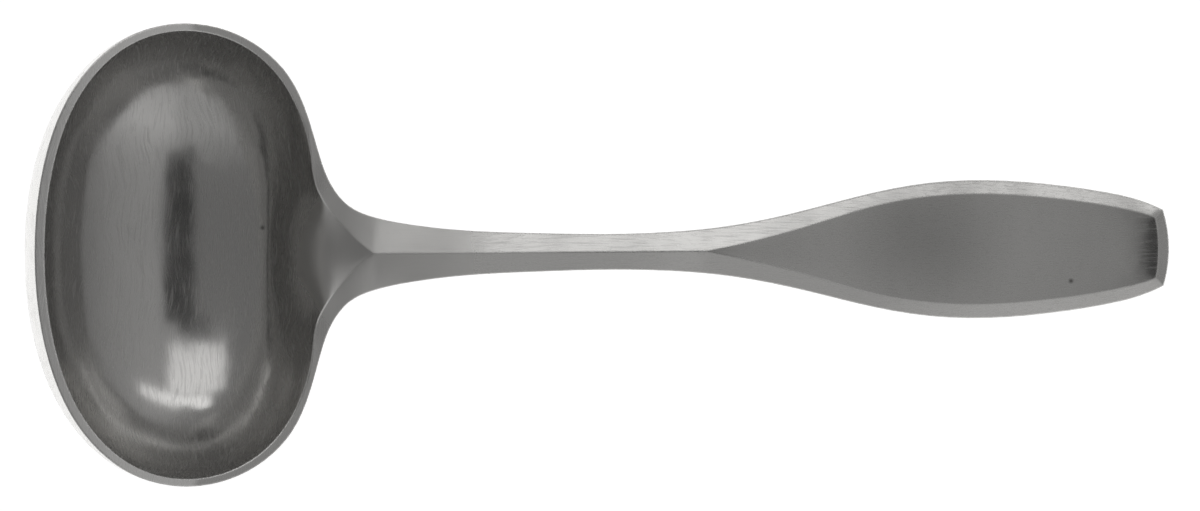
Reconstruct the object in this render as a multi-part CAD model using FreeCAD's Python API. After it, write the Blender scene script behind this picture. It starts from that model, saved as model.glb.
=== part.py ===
import FreeCAD, Part
import math
import os

# A gravy ladle forged from one piece of stainless steel, lying as it comes to rest on a table.
# Millimetres. The handle points along +X, the bowl is at -X, +Z is up and the table is z = 0.
# The skins are nets of smooth rows that run from the far lip to the handle end, so that every
# edge between two skins is one shared row. Plan distances start at the middle of the mouth.

# The bowl, in the plane of its mouth.
MOUTH_LENGTH = 49.8
MOUTH_WIDTH = 72.2
BOWL_DEPTH = 24.5
WALL = 1.25
RIM_WIDTH = 1.55
RIM_CREST = 0.12
REST_TILT = 19.5

# How far the ovals swell past an ellipse: round the mouth, and down the middle.
MOUTH_SWELL = 0.03
KEEL_SWELL = 0.04

# How full the bowl's cross section is, high on its side and low on its floor.
SIDE_FULL = 0.56
FLOOR_FULL = 0.62

# The handle: its plan.
HANDLE_REACH = 152.7
SHOULDER_REACH = 5.7
NECK_WIDTH = 11.4
STEM_WIDTH = 5.6
GRIP_WIDTH = 21.6
BEVEL_WIDTH = 2.15
END_BULGE = 0.9
END_BEVEL = 1.2

# The handle: its side view, heights from the plane of the mouth, then the table.
NECK_RISE = 0.9
NECK_SLOPE = -0.05
CROWN_RISE = 2.4
CROWN_SHARE = 0.26
END_SLOPE = -0.09
BEVEL_SLOPE = 0.55
NECK_THICKNESS = 4.4
END_THICKNESS = 2.5
PANEL_DISH = 0.25
DISH_FADE = 3.0

# Depth of the flats worn where the bowl and the handle's end lie on the table.
REST_WEAR = 0.08

# Share of the handle's length, and of the flare from the stem out to the neck.
FLARE = [(0.047, 0.58), (0.112, 0.262), (0.201, 0.083)]

# Share of the handle's length, and of the swell from the stem out to the full grip.
STEM = [(0.298, 0.0), (0.371, 0.03), (0.418, 0.085)]

# The same on the grip, with its bevel's width as a share of the full bevel.
GRIP = [
    (0.476, 0.21, 1.40),
    (0.549, 0.455, 1.21),
    (0.630, 0.765, 1.0),
    (0.703, 0.955, 1.0),
    (0.776, 1.0, 1.0),
    (0.849, 0.925, 1.0),
    (0.922, 0.765, 0.97),
    (0.973, 0.575, 0.88),
    (1.0, 0.395, 0.58),
]

# Angles round the mouth from the far lip, where the bowl's rows are set out.
ANGLES = [0, 22.5, 45, 67.5, 90, 112.5, 132]

# Spacing of the knot lines along the skins, and across them where the bowl is widest.
LIP_GRID = (3.0, 6.0)
BOWL_GRID = (1.05, 3.0)
NECK_GRID = (2.0, 4.5)
SHOULDER_GRID = (1.0, 9.0)
HANDLE_GRID = (1.0, 6.0)

TILT = math.radians(REST_TILT)
HALF_LONG = MOUTH_LENGTH / 2
HALF_WIDE = MOUTH_WIDTH / 2
LONG_IN = HALF_LONG - RIM_WIDTH
WIDE_IN = HALF_WIDE - 0.75 * RIM_WIDTH
DEPTH_IN = BOWL_DEPTH - WALL + RIM_CREST
MOUTH_END = HALF_LONG * math.cos(TILT)
TIP_AT = MOUTH_END + SHOULDER_REACH
HANDLE_LENGTH = HANDLE_REACH - TIP_AT
CROWN_AT = TIP_AT + CROWN_SHARE * HANDLE_LENGTH

# Places of the neck, the shoulder's tip, the panel's tip and the end in the list of stations.
NECK = len(ANGLES) - 1
TIP = NECK + 5
PANEL = TIP + len(FLARE) + len(STEM)
LAST = PANEL + len(GRIP)

vector = FreeCAD.Vector


def turned(u, y, w):
    """A point or direction of the mouth's frame, in the frame of the table."""
    x = u * math.cos(TILT) + w * math.sin(TILT)
    z = w * math.cos(TILT) - u * math.sin(TILT)
    return vector(x, y, z)


def oval(angle, long, short, swell):
    """A point of a swollen ellipse, its angle taken from the far lip."""
    grow = 1 + swell * math.sin(2 * angle) ** 2
    return -long * grow * math.cos(angle), short * grow * math.sin(angle)


def eased(x, start, end):
    """Height at x on a cubic between two (x, height, slope) ends."""
    run = end[0] - start[0]
    t = (x - start[0]) / run
    rise = (end[1] - start[1]) * (3 * t ** 2 - 2 * t ** 3)
    return start[1] + rise + run * (start[2] * (t - 2 * t ** 2 + t ** 3) + end[2] * (t ** 3 - t ** 2))


def crest(x, mouth_height):
    """Height of the handle's top line: up from the neck to the crown, then down to the table."""
    neck_height = mouth_height - TIP_AT * math.tan(TILT) + NECK_RISE
    crown = (CROWN_AT, neck_height + CROWN_RISE, 0)
    if x < CROWN_AT:
        return eased(x, (TIP_AT, neck_height, NECK_SLOPE), crown)
    return eased(x, crown, (HANDLE_REACH, END_THICKNESS, END_SLOPE))


def bowl_stations(mouth_height):
    """Stations of the bowl's six rows: rim edge, side and floor outside, then the same inside."""
    up = vector(0, 0, mouth_height)
    rows = [[] for _ in range(6)]
    skins = ((HALF_LONG, HALF_WIDE, BOWL_DEPTH, 0), (LONG_IN, WIDE_IN, DEPTH_IN, RIM_CREST))
    for degrees in ANGLES:
        angle = math.radians(degrees)
        for k, (long, wide, deep, lift) in enumerate(skins):
            u, y = oval(angle, long, wide, MOUTH_SWELL)
            keel_u, keel_w = oval(angle, long, deep, KEEL_SWELL)
            rows[3 * k].append(turned(u, y, lift) + up)
            rows[3 * k + 1].append(turned(u, y, lift - SIDE_FULL * keel_w) + up)
            rows[3 * k + 2].append(turned(keel_u, FLOOR_FULL * y, lift - keel_w) + up)
    return rows


def neck_stations(mouth_height):
    """Stations from the bowl's oval to the shoulder's tip, dropped from the mouth's plane."""
    m, w, n, d = MOUTH_END, HALF_WIDE, NECK_WIDTH / 2, BOWL_DEPTH
    s = SHOULDER_REACH
    plan = [
        [
            (0.871 * m, 0.454 * w, 0),
            (0.954 * m, 0.305 * w, 0.012 * d),
            (1.006 * m, 0.252 * w, 0.022 * d),
            (m + 0.30 * s, 1.32 * n, 0.035 * d),
        ],
        [
            (0.818 * m, 0.452 * w, 0.26 * d),
            (0.912 * m, 0.304 * w, 0.19 * d),
            (0.979 * m, 0.248 * w, 0.163 * d),
            (m + 0.25 * s, 1.28 * n, 0.14 * d),
        ],
        [
            (0.648 * m, 0.332 * w, 0.59 * d),
            (0.827 * m, 0.205 * w, 0.384 * d),
            (0.906 * m, 0.166 * w, 0.317 * d),
            (m, 0.877 * n, 0.257 * d),
        ],
        [
            (0.826 * m, 0.423 * w, -RIM_CREST),
            (0.871 * m, 0.271 * w, -RIM_CREST),
            (0.935 * m, 0.201 * w, 0.024 * d),
            (m + 0.09 * s, 0.81 * n, 0.025 * d),
        ],
        [
            (0.765 * m, 0.408 * w, 0.234 * d),
            (0.848 * m, 0.222 * w, 0.143 * d),
            (0.915 * m, 0.135 * w, 0.086 * d),
            (m, 0.54 * n, 0.051 * d),
        ],
        [
            (0.622 * m, 0.294 * w, 0.535 * d),
            (0.775 * m, 0.150 * w, 0.280 * d),
            (0.870 * m, 0.065 * w, 0.160 * d),
            (0.975 * m, 0.27 * n, 0.080 * d),
        ],
    ]
    rows = []
    for line in plan:
        rows.append([vector(x, y, mouth_height - x * math.tan(TILT) - drop) for x, y, drop in line])
    return rows


def handle_stations(mouth_height):
    """Stations of the handle: outer edge, side and belly, then the ridge or the panel's edge."""
    half_neck, half_stem, half_grip = NECK_WIDTH / 2, STEM_WIDTH / 2, GRIP_WIDTH / 2
    spots = [(0, half_neck, half_neck)]
    for share, flare in FLARE:
        half = half_stem + flare * (half_neck - half_stem)
        spots.append((share, half, half))
    for share, swell in STEM:
        half = half_stem + swell * (half_grip - half_stem)
        spots.append((share, half, half))
    for share, swell, bevel in GRIP:
        spots.append((share, half_stem + swell * (half_grip - half_stem), bevel * BEVEL_WIDTH))
    rows = [[], [], [], []]
    for share, half, bevel in spots:
        x = TIP_AT + share * HANDLE_LENGTH
        top = crest(x, mouth_height)
        low = top - NECK_THICKNESS - share * (END_THICKNESS - NECK_THICKNESS)
        edge = top - bevel * BEVEL_SLOPE * (1 - 0.35 * max(0, 1 - share / 0.1))
        inside = min(x, HANDLE_REACH - END_BEVEL)
        rows[0].append(vector(x, half, edge))
        rows[1].append(vector(x, 0.98 * half, low + 0.35 * (edge - low)))
        rows[2].append(vector(x, 0.66 * half, low))
        rows[3].append(vector(inside, half - bevel, crest(inside, mouth_height)))
    return rows


def row(points, first, marks, start=None):
    """A smooth row through stations. All rows use the same marks, so their poles match."""
    curve = Part.BSplineCurve()
    at = marks[first:first + len(points)]
    if start is None:
        curve.interpolate(Points=points, Parameters=at)
        return curve
    flags = [k == 0 for k in range(len(points))]
    lines = [start] * len(points)
    curve.interpolate(Points=points, Parameters=at, Tangents=lines, TangentFlags=flags, Scale=False)
    return curve


def set_out(mouth_height):
    """All rows of the ladle, for one height of the mouth's middle over the table."""
    bowl = bowl_stations(mouth_height)
    neck = neck_stations(mouth_height)
    handle = handle_stations(mouth_height)
    outer, side, floor = [bowl[k] + neck[k] + handle[k] for k in range(3)]
    tip = handle[3][0]
    inner, wall, basin = [bowl[k] + neck[k] + [tip] for k in range(3, 6)]
    marks = [0.0]
    for near, far in zip(outer, outer[1:]):
        marks.append(marks[-1] + near.distanceToPoint(far))
    fall = BOWL_DEPTH / HALF_WIDE
    shrink = WIDE_IN / HALF_WIDE
    fall_in = DEPTH_IN / HALF_WIDE
    top = handle[3][PANEL - TIP:]
    dished = [min(1, p.y / DISH_FADE) * PANEL_DISH for p in top[:-1]]
    panel_side = [vector(p.x, p.y * 2 / 3, p.z - dip) for p, dip in zip(top, dished)]
    panel_floor = [vector(p.x, p.y / 3, p.z - dip) for p, dip in zip(top, dished)]
    for line, bulge, share in ((panel_side, 0.4, 2 / 3), (panel_floor, 0.5, 1 / 3)):
        x = top[-1].x + bulge * END_BULGE
        line.append(vector(x, share * top[-1].y, crest(x, mouth_height)))
    return {
        "marks": marks,
        "outer": row(outer, 0, marks, turned(0, 1, 0)),
        "side": row(side, 0, marks, turned(0, 1, -SIDE_FULL * fall)),
        "floor": row(floor, 0, marks, turned(0, FLOOR_FULL, -fall)),
        "inner": row(inner, 0, marks, turned(0, shrink, 0)),
        "wall": row(wall, 0, marks, turned(0, shrink, -SIDE_FULL * fall_in)),
        "basin": row(basin, 0, marks, turned(0, shrink * FLOOR_FULL, -fall_in)),
        "ridge": row(handle[3][:PANEL - TIP + 1], TIP, marks),
        "panel": row(top, PANEL, marks),
        "panel_side": row(panel_side, PANEL, marks),
        "panel_floor": row(panel_floor, PANEL, marks),
    }


def sag(rows):
    """Height of the bowl's lowest line."""
    end = rows["marks"][TIP]
    return min(rows["floor"].value(end * k / 900).z for k in range(901))


def evened(surface, grid):
    """The same surface with more knot lines, so that its facets come out even and few."""
    step, width = grid
    share = round(HALF_WIDE / width)
    start, end = surface.getUKnots()
    parts = max(2, math.ceil((end - start) / step))
    along = [start + (end - start) * k / parts for k in range(1, parts)]
    across = [k / share for k in range(1, 2 * share) if k != share]
    surface.insertUKnots(along, [1] * len(along), 1e-9)
    surface.insertVKnots(across, [1] * len(across), 1e-9)


def net(lead, lines, degree, counts, grid=None):
    """A skin from lines of poles that all run along the ladle like the lead row."""
    poles = [list(across) for across in zip(*lines)]
    surface = Part.BSplineSurface()
    surface.buildFromPolesMultsKnots(
        poles,
        lead.getMultiplicities(),
        counts,
        lead.getKnots(),
        list(range(len(counts))),
        False,
        False,
        lead.Degree,
        degree,
    )
    if grid:
        evened(surface, grid)
    return surface.toShape()


def mirrored(poles):
    return [vector(p.x, -p.y, p.z) for p in poles]


def tray(edge, side, floor, grid=None):
    """A skin from one edge row, under the middle of the ladle, to the mirrored edge row."""
    lines = [curve.getPoles() for curve in (edge, side, floor)]
    lines += [mirrored(poles) for poles in reversed(lines)]
    return net(edge, lines, 3, [4, 2, 4], grid)


def strip(one, two):
    """A ruled skin between two rows."""
    return net(one, [one.getPoles(), two.getPoles()], 1, [2, 2])


def rib(edge, side, floor):
    """A cross curve from one edge to the mirrored edge."""
    poles = [edge, side, floor]
    poles += mirrored(reversed(poles))
    curve = Part.BSplineCurve()
    curve.buildFromPolesMultsKnots(poles, [4, 2, 4], [0, 1, 2], False, 3)
    return curve


def cut_row(curve, marks, first, last):
    piece = curve.copy()
    piece.segment(marks[first], marks[last])
    return piece


def ladle():
    height = -sag(set_out(0))
    height -= sag(set_out(height))
    rows = set_out(height)
    marks = rows["marks"]
    bowl_grids = [LIP_GRID] + [BOWL_GRID] * (NECK - 1)
    outside_grids = bowl_grids + [NECK_GRID] * (TIP - NECK) + [HANDLE_GRID] * (LAST - TIP)
    inside_grids = bowl_grids + [SHOULDER_GRID] * (TIP - NECK - 1) + [None]
    outside = (("outer", "side", "floor"), outside_grids)
    inside = (("inner", "wall", "basin"), inside_grids)
    skins = []
    for names, grids in (outside, inside):
        for first, grid in enumerate(grids):
            skins.append(tray(*[cut_row(rows[name], marks, first, first + 1) for name in names], grid))
    for first, last, name in ((0, TIP, "inner"), (TIP, PANEL, "ridge"), (PANEL, LAST, "panel")):
        facet = strip(cut_row(rows["outer"], marks, first, last), rows[name])
        skins += [facet, facet.mirror(vector(0, 0, 0), vector(0, 1, 0))]
    skins.append(tray(rows["panel"], rows["panel_side"], rows["panel_floor"]))

    corner = rows["outer"].getPoles()[-1]
    mid_top = vector(corner.x + 0.8 * END_BULGE, 0.6 * corner.y, corner.z)
    top_end = rib(corner, mid_top, vector(corner.x + END_BULGE, 0.25 * corner.y, corner.z))
    low_end = rib(corner, rows["side"].getPoles()[-1], rows["floor"].getPoles()[-1])
    panel_end = rib(*[rows[name].getPoles()[-1] for name in ("panel", "panel_side", "panel_floor")])
    skins += [strip(top_end, panel_end), strip(top_end, low_end)]

    shell = Part.makeShell(skins)
    shell.sewShape(1e-4)
    solid = Part.makeSolid(shell)
    if solid.Volume < 0:
        solid.reverse()
    low = solid.optimalBoundingBox().ZMin
    span = HANDLE_REACH + MOUTH_LENGTH
    worn = Part.makeBox(2 * span, 2 * span, WALL + REST_WEAR, vector(-span, -span, low - WALL))
    solid = solid.cut(worn).Solids[0]
    box = solid.optimalBoundingBox()
    solid.translate(vector(-box.Center.x, 0, -box.ZMin))
    return solid


part = ladle()
os.makedirs("parts", exist_ok=True)
part.exportStep("parts/ladle.step")
size = part.optimalBoundingBox()
print("one closed solid:", part.isValid() and part.isClosed(), "volume", round(part.Volume, 1))
print("size", round(size.XLength, 2), round(size.YLength, 2), round(size.ZLength, 2))
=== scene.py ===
import math

import bpy
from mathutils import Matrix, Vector


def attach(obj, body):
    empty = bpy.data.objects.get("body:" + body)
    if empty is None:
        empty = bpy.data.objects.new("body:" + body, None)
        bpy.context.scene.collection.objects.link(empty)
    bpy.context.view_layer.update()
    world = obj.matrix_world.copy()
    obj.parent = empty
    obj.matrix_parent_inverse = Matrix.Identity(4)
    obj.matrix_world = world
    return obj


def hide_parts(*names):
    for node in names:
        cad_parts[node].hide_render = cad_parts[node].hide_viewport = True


# A gravy ladle of satin polished stainless steel, lying on a white table, seen from straight above.
# Metres, in the frame of the solid: the handle points along +X and the table is z = 0.

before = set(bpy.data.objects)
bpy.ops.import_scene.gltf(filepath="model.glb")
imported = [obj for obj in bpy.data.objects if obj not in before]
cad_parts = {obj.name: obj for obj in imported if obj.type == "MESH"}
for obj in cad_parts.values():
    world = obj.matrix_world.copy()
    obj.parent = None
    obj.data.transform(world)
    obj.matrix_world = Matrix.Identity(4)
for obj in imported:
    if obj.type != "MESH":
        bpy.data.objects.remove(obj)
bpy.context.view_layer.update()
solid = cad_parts["ladle"]
bpy.ops.object.select_all(action="DESELECT")

MM = 0.001

# The photograph's frame: 6.4 pixels to a millimetre, 1200 by 511 pixels, turned by 0.43 degrees. Its
# scale holds at VIEW_LEVEL above the table. The lens and the sensor are in millimetres.
VIEW_WIDTH = 187.5 * MM
VIEW_CENTRE = (0.235 * MM, -0.561 * MM)
VIEW_TURN = -0.0075
VIEW_LEVEL = 14 * MM
LENS = 690
SENSOR = 36
CLIP_START = 0.1
CLIP_SPARE = 10

WHITE = "#FFFFFF"


def linear(code):
    """An sRGB hex colour as linear values with an alpha of one."""
    parts = [int(code[k:k + 2], 16) / 255 for k in (1, 3, 5)]
    values = [c / 12.92 if c <= 0.04045 else ((c + 0.055) / 1.055) ** 2.4 for c in parts]
    return (values[0], values[1], values[2], 1.0)


def add_node(tree, kind, settings=None, inputs=None, stops=None):
    """Adds a node, sets its own settings, sets or links its inputs, and fills a ramp's grey stops."""
    made = tree.nodes.new(kind)
    for name, value in (settings or {}).items():
        setattr(made, name, value)
    for name, value in (inputs or {}).items():
        if isinstance(value, bpy.types.NodeSocket):
            tree.links.new(value, made.inputs[name])
        else:
            made.inputs[name].default_value = value
    for number, (position, code) in enumerate(stops or []):
        marks = made.color_ramp.elements
        mark = marks[number] if number < 2 else marks.new(position)
        mark.position = position
        mark.color = linear(code)
    return made


def start_tree(holder):
    """The emptied node tree of a material or a world."""
    holder.use_nodes = True
    holder.node_tree.nodes.clear()
    return holder.node_tree


# Stainless steel, satin polished: a neutral grey mirror, blurred by a fine polish and dulled by the
# haze of many small scratches, with a painted highlight, a brighter steel colour, on the bowl's
# raised front and along the facets' broken edges.
STEEL_GREY = "#C6C5C3"
HIGHLIGHT_BRIGHT = "#EDECEA"
MARK_DARK = "#3A3938"

# The bowl's finish gives way to the handle's between these places along X.
BOWL_END = -36 * MM
HANDLE_START = -30 * MM

# The bowl's raised front end gets a painted highlight, a brighter steel colour, between these
# heights.
FRONT_FOOT = 24.3 * MM
FRONT_TOP = 24.9 * MM

# The facets' edges are broken by this radius. The painted highlight on them starts where the broken
# surface's normal is this like the flat one's, and is full at the second value.
EDGE_RADIUS = 0.4 * MM
EDGE_RAYS = 6
EDGE_LIKENESS = (0.995, 0.94)

# Scratches, as cells of noise per metre along X, Y and Z: 0.28 mm apart and 4 mm long across the
# bowl, 0.24 mm apart and 6 mm long on the handle. The real ones are finer and wouldn't show.
BOWL_GRAIN = (3600, 240, 400)
HANDLE_GRAIN = (160, 4200, 4200)
GRAIN_DETAIL = 2.0
SCRATCH_SPAN = (0.5, 0.75)
SCRATCH_HAZE = 0.4
SCRATCH_DEPTH = 0.02 * MM
SCRATCH_RELIEF = 0.12

# The bowl's scratches drift aside by up to 6 mm, in waves of about 14 mm.
DRIFT_CELLS = 70.0
DRIFT_REACH = 6 * MM

# Haze in clouds of about 9 mm: its share over the polish, and the roughness of both.
CLOUD_CELLS = 110.0
CLOUD_DETAIL = 4.0
CLOUD_SPAN = (0.3, 0.7)
HAZE_SHARE = (0.15, 0.27)
HAZE_ROUGHNESS = 0.6
POLISH_ROUGHNESS = (0.13, 0.2)

# The neck is rougher round this place along X, fully so within the core and not past the reach.
NECK_AT = -33 * MM
NECK_CORE = 8 * MM
NECK_REACH = 18 * MM
NECK_ROUGHNESS = 0.28

# Marks as (x, y, reach, depth), in millimetres: two small pits, and a faint darkening round the
# middle of the grip. The depth is the share of dark colour at the middle.
MARKS = (
    (-52.6, 4.2, 0.55, 0.75),
    (74.0, -5.1, 0.6, 0.75),
    (51.0, 2.0, 17.0, 0.3),
)

steel = bpy.data.materials.new("stainless steel, satin polished")
tree = start_tree(steel)
place = add_node(tree, "ShaderNodeTexCoord").outputs["Object"]
at = add_node(tree, "ShaderNodeSeparateXYZ", inputs={"Vector": place}).outputs
flat_place = add_node(tree, "ShaderNodeCombineXYZ", inputs={"X": at["X"], "Y": at["Y"]})

# Where the handle begins, where the bowl's front is, and how far a point lies on a broken edge.
on_handle = add_node(
    tree,
    "ShaderNodeMapRange",
    {"interpolation_type": "SMOOTHSTEP"},
    {"Value": at["X"], "From Min": BOWL_END, "From Max": HANDLE_START},
)
high = add_node(
    tree,
    "ShaderNodeMapRange",
    {"interpolation_type": "SMOOTHSTEP"},
    {"Value": at["Z"], "From Min": FRONT_FOOT, "From Max": FRONT_TOP},
)
on_front = add_node(
    tree,
    "ShaderNodeMapRange",
    inputs={"Value": on_handle.outputs["Result"], "To Min": high.outputs["Result"], "To Max": 0.0},
)
true_normal = add_node(tree, "ShaderNodeNewGeometry").outputs["Normal"]
broken = add_node(tree, "ShaderNodeBevel", {"samples": EDGE_RAYS}, {"Radius": EDGE_RADIUS})
likeness = add_node(
    tree,
    "ShaderNodeVectorMath",
    {"operation": "DOT_PRODUCT"},
    {0: broken.outputs["Normal"], 1: true_normal},
)
on_edge = add_node(
    tree,
    "ShaderNodeMapRange",
    inputs={
        "Value": likeness.outputs["Value"],
        "From Min": EDGE_LIKENESS[0],
        "From Max": EDGE_LIKENESS[1],
    },
)

# Fine scratches: bent lines across the bowl, straight ones along the handle.
drift = add_node(
    tree,
    "ShaderNodeTexNoise",
    inputs={"Vector": place, "Scale": DRIFT_CELLS, "Detail": 1.0},
)
shift = add_node(
    tree,
    "ShaderNodeVectorMath",
    {"operation": "MULTIPLY"},
    {0: drift.outputs["Color"], 1: (DRIFT_REACH, DRIFT_REACH, DRIFT_REACH)},
)
bent = add_node(
    tree,
    "ShaderNodeVectorMath",
    {"operation": "ADD"},
    {0: place, 1: shift.outputs["Vector"]},
)
scratch_noises = []
for start, grain in ((bent.outputs["Vector"], BOWL_GRAIN), (place, HANDLE_GRAIN)):
    stretched = add_node(tree, "ShaderNodeMapping", inputs={"Vector": start, "Scale": grain})
    noise = add_node(
        tree,
        "ShaderNodeTexNoise",
        inputs={"Vector": stretched.outputs["Vector"], "Scale": 1.0, "Detail": GRAIN_DETAIL},
    )
    scratch_noises.append(noise.outputs["Fac"])
lines = add_node(
    tree,
    "ShaderNodeMapRange",
    inputs={
        "Value": on_handle.outputs["Result"],
        "To Min": scratch_noises[0],
        "To Max": scratch_noises[1],
    },
)
scratches = add_node(
    tree,
    "ShaderNodeMapRange",
    inputs={
        "Value": lines.outputs["Result"],
        "From Min": SCRATCH_SPAN[0],
        "From Max": SCRATCH_SPAN[1],
    },
)

# Cloudy haze, which dulls the polish here and there and lies thicker on the scratches.
clouds = add_node(
    tree,
    "ShaderNodeTexNoise",
    inputs={"Vector": place, "Scale": CLOUD_CELLS, "Detail": CLOUD_DETAIL},
)
clouded = []
for least, most in (HAZE_SHARE, POLISH_ROUGHNESS):
    cloud = add_node(
        tree,
        "ShaderNodeMapRange",
        inputs={
            "Value": clouds.outputs["Fac"],
            "From Min": CLOUD_SPAN[0],
            "From Max": CLOUD_SPAN[1],
            "To Min": least,
            "To Max": most,
        },
    )
    clouded.append(cloud.outputs["Result"])
haze = add_node(
    tree,
    "ShaderNodeMath",
    {"operation": "MULTIPLY_ADD", "use_clamp": True},
    {0: scratches.outputs["Result"], 1: SCRATCH_HAZE, 2: clouded[0]},
)

# The hollow of the neck is out of the polishing wheel's reach and stays satin.
from_neck = add_node(
    tree,
    "ShaderNodeVectorMath",
    {"operation": "DISTANCE"},
    {0: flat_place.outputs["Vector"], 1: (NECK_AT, 0, 0)},
)
on_neck = add_node(
    tree,
    "ShaderNodeMapRange",
    {"interpolation_type": "SMOOTHSTEP"},
    {
        "Value": from_neck.outputs["Value"],
        "From Min": NECK_CORE,
        "From Max": NECK_REACH,
        "To Min": NECK_ROUGHNESS,
        "To Max": 0.0,
    },
)
rough = add_node(
    tree,
    "ShaderNodeMath",
    {"operation": "ADD"},
    {0: clouded[1], 1: on_neck.outputs["Result"]},
)

# Painted highlight, a brighter steel colour, on the broken edges and the bowl's front, and the dark
# marks.
bright = add_node(
    tree,
    "ShaderNodeMath",
    {"operation": "MAXIMUM"},
    {0: on_edge.outputs["Result"], 1: on_front.outputs["Result"]},
)
colour = add_node(
    tree,
    "ShaderNodeMix",
    {"data_type": "RGBA"},
    {0: bright.outputs[0], 6: linear(STEEL_GREY), 7: linear(HIGHLIGHT_BRIGHT)},
).outputs[2]
for x, y, wide, depth in MARKS:
    gap = add_node(
        tree,
        "ShaderNodeVectorMath",
        {"operation": "DISTANCE"},
        {0: flat_place.outputs["Vector"], 1: (x * MM, y * MM, 0)},
    )
    dark_spot = add_node(
        tree,
        "ShaderNodeMapRange",
        {"interpolation_type": "SMOOTHSTEP"},
        {
            "Value": gap.outputs["Value"],
            "From Min": 0.0,
            "From Max": wide * MM,
            "To Min": depth,
            "To Max": 0.0,
        },
    )
    colour = add_node(
        tree,
        "ShaderNodeMix",
        {"data_type": "RGBA"},
        {0: dark_spot.outputs["Result"], 6: colour, 7: linear(MARK_DARK)},
    ).outputs[2]

relief = add_node(
    tree,
    "ShaderNodeBump",
    inputs={
        "Height": lines.outputs["Result"],
        "Normal": broken.outputs["Normal"],
        "Strength": SCRATCH_RELIEF,
        "Distance": SCRATCH_DEPTH,
    },
)
polish = add_node(
    tree,
    "ShaderNodeBsdfPrincipled",
    inputs={
        "Base Color": colour,
        "Metallic": 1.0,
        "Roughness": rough.outputs[0],
        "Normal": relief.outputs["Normal"],
    },
)
dull = add_node(
    tree,
    "ShaderNodeBsdfPrincipled",
    inputs={
        "Base Color": colour,
        "Metallic": 1.0,
        "Roughness": HAZE_ROUGHNESS,
        "Normal": relief.outputs["Normal"],
    },
)
skin = add_node(
    tree,
    "ShaderNodeMixShader",
    inputs={0: haze.outputs[0], 1: polish.outputs[0], 2: dull.outputs[0]},
)
add_node(tree, "ShaderNodeOutputMaterial", inputs={"Surface": skin.outputs[0]})

# The ladle: the solid's skin as one closed mesh. The edges between its facets, which turn by more
# than EDGE_ANGLE degrees, stay crisp. The rest is divided once and relaxed, so that the mirrored
# room runs smoothly over the curves.
MERGE_DISTANCE = 0.001 * MM
EDGE_ANGLE = 18
RELAX_FACTOR = 0.5
RELAX_STEPS = 14

# The seam where the bowl's faces meet the stem's is smoothed: its edges lie between these places
# along X and run across, with at least this slope.
SEAM_START = -35.8 * MM
SEAM_END = -33.4 * MM
SEAM_SLOPE = 1.6

# The shoulder's upper side, whose normals rise by UPPER_SIDE or more, is relaxed further: more and
# more from its start along X, fully from the second place on, and not past its end.
SHOULDER_START = -48 * MM
SHOULDER_FULL = -43 * MM
SHOULDER_END = -30 * MM
SHOULDER_STEPS = 150
UPPER_SIDE = 0.2


def relax(piece, name, weights, steps):
    """Relaxes a piece's mesh in steps, each vertex by its own weight. The rest of it stays."""
    group = piece.vertex_groups.new(name=name)
    for index, weight in weights.items():
        group.add([index], weight, "REPLACE")
    bpy.ops.object.modifier_add(type="SMOOTH")
    smooth = piece.modifiers[-1]
    smooth.factor = RELAX_FACTOR
    smooth.iterations = steps
    smooth.vertex_group = group.name
    bpy.ops.object.modifier_apply(modifier=smooth.name)


ladle = solid.copy()
ladle.data = solid.data.copy()
ladle.name = "polished_ladle"
bpy.context.scene.collection.objects.link(ladle)
bpy.context.view_layer.objects.active = ladle
ladle.select_set(True)

# The solid's faces are loose from each other. Their borders are marked, they are merged, and the
# marks go again wherever the surface runs on.
bpy.ops.mesh.customdata_custom_splitnormals_clear()
bpy.ops.object.mode_set(mode="EDIT")
bpy.ops.mesh.select_mode(type="EDGE")
bpy.ops.mesh.select_all(action="DESELECT")
bpy.ops.mesh.select_non_manifold(
    extend=False,
    use_wire=False,
    use_boundary=True,
    use_multi_face=False,
    use_non_contiguous=False,
    use_verts=False,
)
bpy.ops.mesh.mark_sharp()
bpy.ops.mesh.select_all(action="SELECT")
bpy.ops.mesh.remove_doubles(threshold=MERGE_DISTANCE)
bpy.ops.mesh.select_all(action="DESELECT")
bpy.ops.mesh.edges_select_sharp(sharpness=math.radians(EDGE_ANGLE))
bpy.ops.mesh.select_all(action="INVERT")
bpy.ops.mesh.mark_sharp(clear=True)
bpy.ops.mesh.select_all(action="SELECT")
bpy.ops.mesh.subdivide(number_cuts=1)
bpy.ops.object.mode_set(mode="OBJECT")
bpy.ops.object.shade_smooth(keep_sharp_edges=True)

on_edges = set()
for edge in ladle.data.edges:
    start, end = [ladle.data.vertices[k].co for k in edge.vertices]
    across = abs(end.y - start.y) > SEAM_SLOPE * abs(end.x - start.x)
    if across and SEAM_START < min(start.x, end.x) and max(start.x, end.x) < SEAM_END:
        edge.use_edge_sharp = False
    if edge.use_edge_sharp:
        on_edges.update(edge.vertices)

facets = {v.index: 1.0 for v in ladle.data.vertices if v.index not in on_edges}
relax(ladle, "within the facets", facets, RELAX_STEPS)

shoulder = {}
for v in ladle.data.vertices:
    if v.index in on_edges or v.normal.z < UPPER_SIDE:
        continue
    if SHOULDER_START < v.co.x <= SHOULDER_END:
        share = (v.co.x - SHOULDER_START) / (SHOULDER_FULL - SHOULDER_START)
        shoulder[v.index] = min(1.0, share)
relax(ladle, "rolled shoulder", shoulder, SHOULDER_STEPS)

ladle.data.materials.clear()
ladle.data.materials.append(steel)
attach(ladle, "root")
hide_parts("ladle")

# White table top of matt laminate: it shines white to the eye and keeps the ladle's soft shadow. The
# steel sees it white within POOL of its middle and fading away up to POOL_END, in metres.
TABLE_GREY = "#D0D0D0"
TABLE_SIZE = 24.0
TABLE_GLOW = 0.84
POOL = 0.2
POOL_END = 0.55

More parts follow.
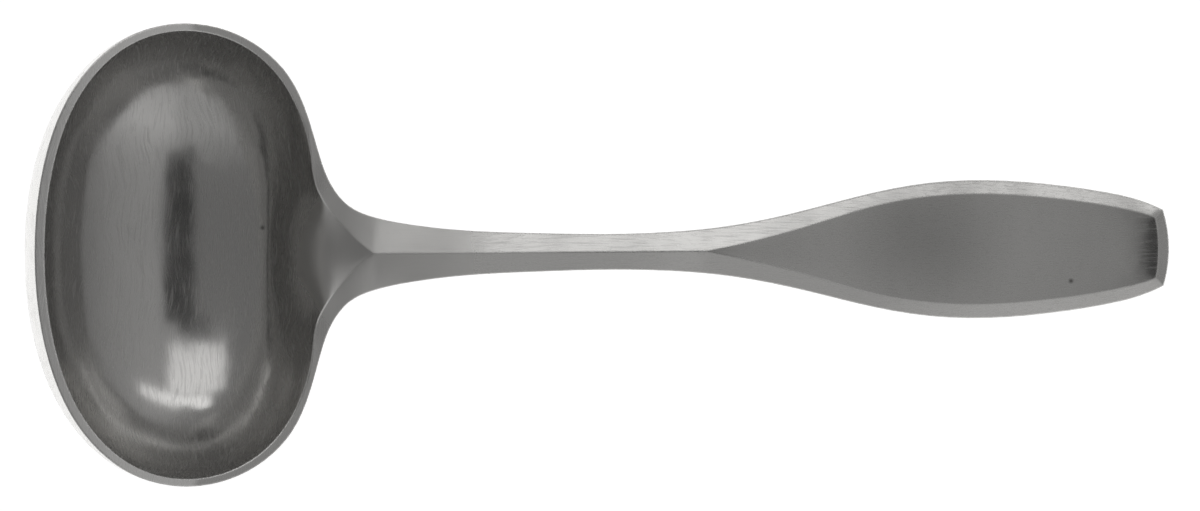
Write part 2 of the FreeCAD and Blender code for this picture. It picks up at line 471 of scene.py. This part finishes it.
table_white = bpy.data.materials.new("matt white laminate")
tree = start_tree(table_white)
spot = add_node(tree, "ShaderNodeTexCoord").outputs["Object"]
reach = add_node(tree, "ShaderNodeVectorMath", {"operation": "LENGTH"}, {0: spot})
pool = add_node(
    tree,
    "ShaderNodeMapRange",
    {"interpolation_type": "SMOOTHSTEP"},
    {
        "Value": reach.outputs["Value"],
        "From Min": POOL,
        "From Max": POOL_END,
        "To Min": 1.0,
        "To Max": 0.0,
    },
)
path = add_node(tree, "ShaderNodeLightPath").outputs
mirrored = add_node(
    tree,
    "ShaderNodeMath",
    {"operation": "MULTIPLY"},
    {0: path["Is Glossy Ray"], 1: pool.outputs["Result"]},
)
seen = add_node(
    tree,
    "ShaderNodeMath",
    {"operation": "MAXIMUM"},
    {0: path["Is Camera Ray"], 1: mirrored.outputs[0]},
)
seen_through = add_node(
    tree,
    "ShaderNodeMath",
    {"operation": "MAXIMUM"},
    {0: seen.outputs[0], 1: path["Is Transmission Ray"]},
)
level = add_node(
    tree,
    "ShaderNodeMath",
    {"operation": "MULTIPLY"},
    {0: seen_through.outputs[0], 1: TABLE_GLOW},
)
glow = add_node(
    tree,
    "ShaderNodeEmission",
    inputs={"Color": linear(WHITE), "Strength": level.outputs[0]},
)
matt = add_node(tree, "ShaderNodeBsdfDiffuse", inputs={"Color": linear(TABLE_GREY)})
both = add_node(tree, "ShaderNodeAddShader", inputs={0: glow.outputs[0], 1: matt.outputs[0]})
add_node(tree, "ShaderNodeOutputMaterial", inputs={"Surface": both.outputs[0]})

bpy.ops.mesh.primitive_plane_add(size=TABLE_SIZE, location=(0, 0, 0))
table = bpy.context.object
table.name = "table"
table.data.materials.append(table_white)

# The room: mid grey, lighter past the handle end and on the near side. The stops run from one side
# of the room to the other: from the bowl's to the handle's, and from the near side to the far one.
ROOM_ENDS = (
    (0.0, "#7C7C7C"),
    (0.56, "#7C7C7C"),
    (0.64, "#9B9B9B"),
    (0.76, "#A6A6A6"),
    (0.9, "#9C9C9C"),
    (1.0, "#808080"),
)
ROOM_SIDES = (
    (0.0, "#8C8C8C"),
    (0.13, "#8C8C8C"),
    (0.2, "#646464"),
    (0.28, "#202020"),
    (0.36, "#000000"),
)

world = bpy.data.worlds.new("pale room")
bpy.context.scene.world = world
tree = start_tree(world)
way = add_node(tree, "ShaderNodeTexCoord").outputs["Generated"]
parts = add_node(tree, "ShaderNodeSeparateXYZ", inputs={"Vector": way}).outputs
greys = []
for axis, stops in (("X", ROOM_ENDS), ("Y", ROOM_SIDES)):
    along = add_node(tree, "ShaderNodeMapRange", inputs={"Value": parts[axis], "From Min": -1.0})
    ramp = add_node(tree, "ShaderNodeValToRGB", inputs={"Fac": along.outputs["Result"]}, stops=stops)
    greys.append(ramp.outputs["Color"])
total = add_node(tree, "ShaderNodeVectorMath", {"operation": "ADD"}, {0: greys[0], 1: greys[1]})
room = add_node(
    tree,
    "ShaderNodeBackground",
    inputs={"Color": total.outputs["Vector"], "Strength": 1.0},
)
add_node(tree, "ShaderNodeOutputWorld", inputs={"Surface": room.outputs[0]})


def add_card(name, middle, size, lean, strength, fade, lights_table=True):
    """A flat card of the studio with soft edges, which the camera doesn't see.

    The card lies level and its lower face is then turned to the near side, by its lean in degrees.
    Its middle, its size and the fade at its edges are in millimetres.
    """
    bpy.ops.mesh.primitive_plane_add(size=1.0, location=(0, 0, 0))
    card = bpy.context.object
    card.name = name
    card.location = Vector(middle) * MM
    card.rotation_euler = (-math.radians(lean), 0, 0)
    card.scale = (size[0] * MM, size[1] * MM, 1)
    paint = bpy.data.materials.new(name)
    tree = start_tree(paint)
    glow = add_node(
        tree,
        "ShaderNodeEmission",
        inputs={"Color": linear(WHITE), "Strength": strength},
    )
    clear = add_node(tree, "ShaderNodeBsdfTransparent")
    uv = add_node(tree, "ShaderNodeTexCoord").outputs["UV"]
    spread = add_node(tree, "ShaderNodeSeparateXYZ", inputs={"Vector": uv}).outputs
    inner = []
    for axis, length, soft in zip("XY", size, fade):
        edge = add_node(tree, "ShaderNodeMath", {"operation": "PINGPONG"}, {0: spread[axis], 1: 0.5})
        near = add_node(
            tree,
            "ShaderNodeMapRange",
            {"interpolation_type": "SMOOTHSTEP"},
            {"Value": edge.outputs[0], "From Min": 0.0, "From Max": soft / length},
        )
        inner.append(near.outputs["Result"])
    inside = add_node(tree, "ShaderNodeMath", {"operation": "MULTIPLY"}, {0: inner[0], 1: inner[1]})
    mixed = add_node(
        tree,
        "ShaderNodeMixShader",
        inputs={0: inside.outputs[0], 1: clear.outputs[0], 2: glow.outputs[0]},
    )
    add_node(tree, "ShaderNodeOutputMaterial", inputs={"Surface": mixed.outputs[0]})
    card.data.materials.append(paint)
    card.visible_camera = False
    card.visible_shadow = False
    card.visible_diffuse = lights_table


# Softbox above the far side of the bowl: from the bowl it stands 27 to 54 degrees off the vertical.
add_card(
    "bowl softbox",
    middle=(-78, 430, 500),
    size=(590, 320),
    lean=41,
    strength=1.1,
    fade=(70, 30),
)
# Strip softbox above the far side of the handle, for its upper facets.
add_card(
    "handle strip softbox",
    middle=(95, 530, 330),
    size=(670, 110),
    lean=58,
    strength=1.45,
    fade=(110, 25),
)
# Dark frame of the softbox, and the dark stand over the handle and its near side. Only the steel
# sees them, and the table's light stays as it is.
add_card(
    "softbox frame",
    middle=(-50, 215, 560),
    size=(330, 120),
    lean=0,
    strength=0.08,
    fade=(40, 30),
    lights_table=False,
)
add_card(
    "stand overhead",
    middle=(66, -91, 540),
    size=(290, 618),
    lean=0,
    strength=0.02,
    fade=(55, 30),
    lights_table=False,
)

# White paper backdrop all round, for the eye alone: the steel doesn't mirror it and it gives no
# light.
BACKDROP_RADIUS = 11.0

backdrop_white = bpy.data.materials.new("white paper backdrop")
tree = start_tree(backdrop_white)
paper = add_node(tree, "ShaderNodeEmission", inputs={"Color": linear(WHITE), "Strength": 1.0})
add_node(tree, "ShaderNodeOutputMaterial", inputs={"Surface": paper.outputs[0]})
bpy.ops.mesh.primitive_uv_sphere_add(radius=BACKDROP_RADIUS, segments=32, ring_count=16)
backdrop = bpy.context.object
backdrop.name = "backdrop"
backdrop.data.materials.append(backdrop_white)
backdrop.visible_diffuse = False
backdrop.visible_glossy = False
backdrop.visible_transmission = False
backdrop.visible_shadow = False

# The camera, straight above, with a long lens.
lens = bpy.data.cameras.new("camera")
lens.lens = LENS
lens.sensor_width = SENSOR
camera = bpy.data.objects.new("camera", lens)
bpy.context.scene.collection.objects.link(camera)
distance = VIEW_WIDTH * LENS / SENSOR
camera.location = (VIEW_CENTRE[0], VIEW_CENTRE[1], VIEW_LEVEL + distance)
camera.rotation_euler = (0, 0, VIEW_TURN)
lens.clip_start = CLIP_START
lens.clip_end = distance + CLIP_SPARE
bpy.context.scene.camera = camera
bpy.context.scene.view_settings.view_transform = "Standard"
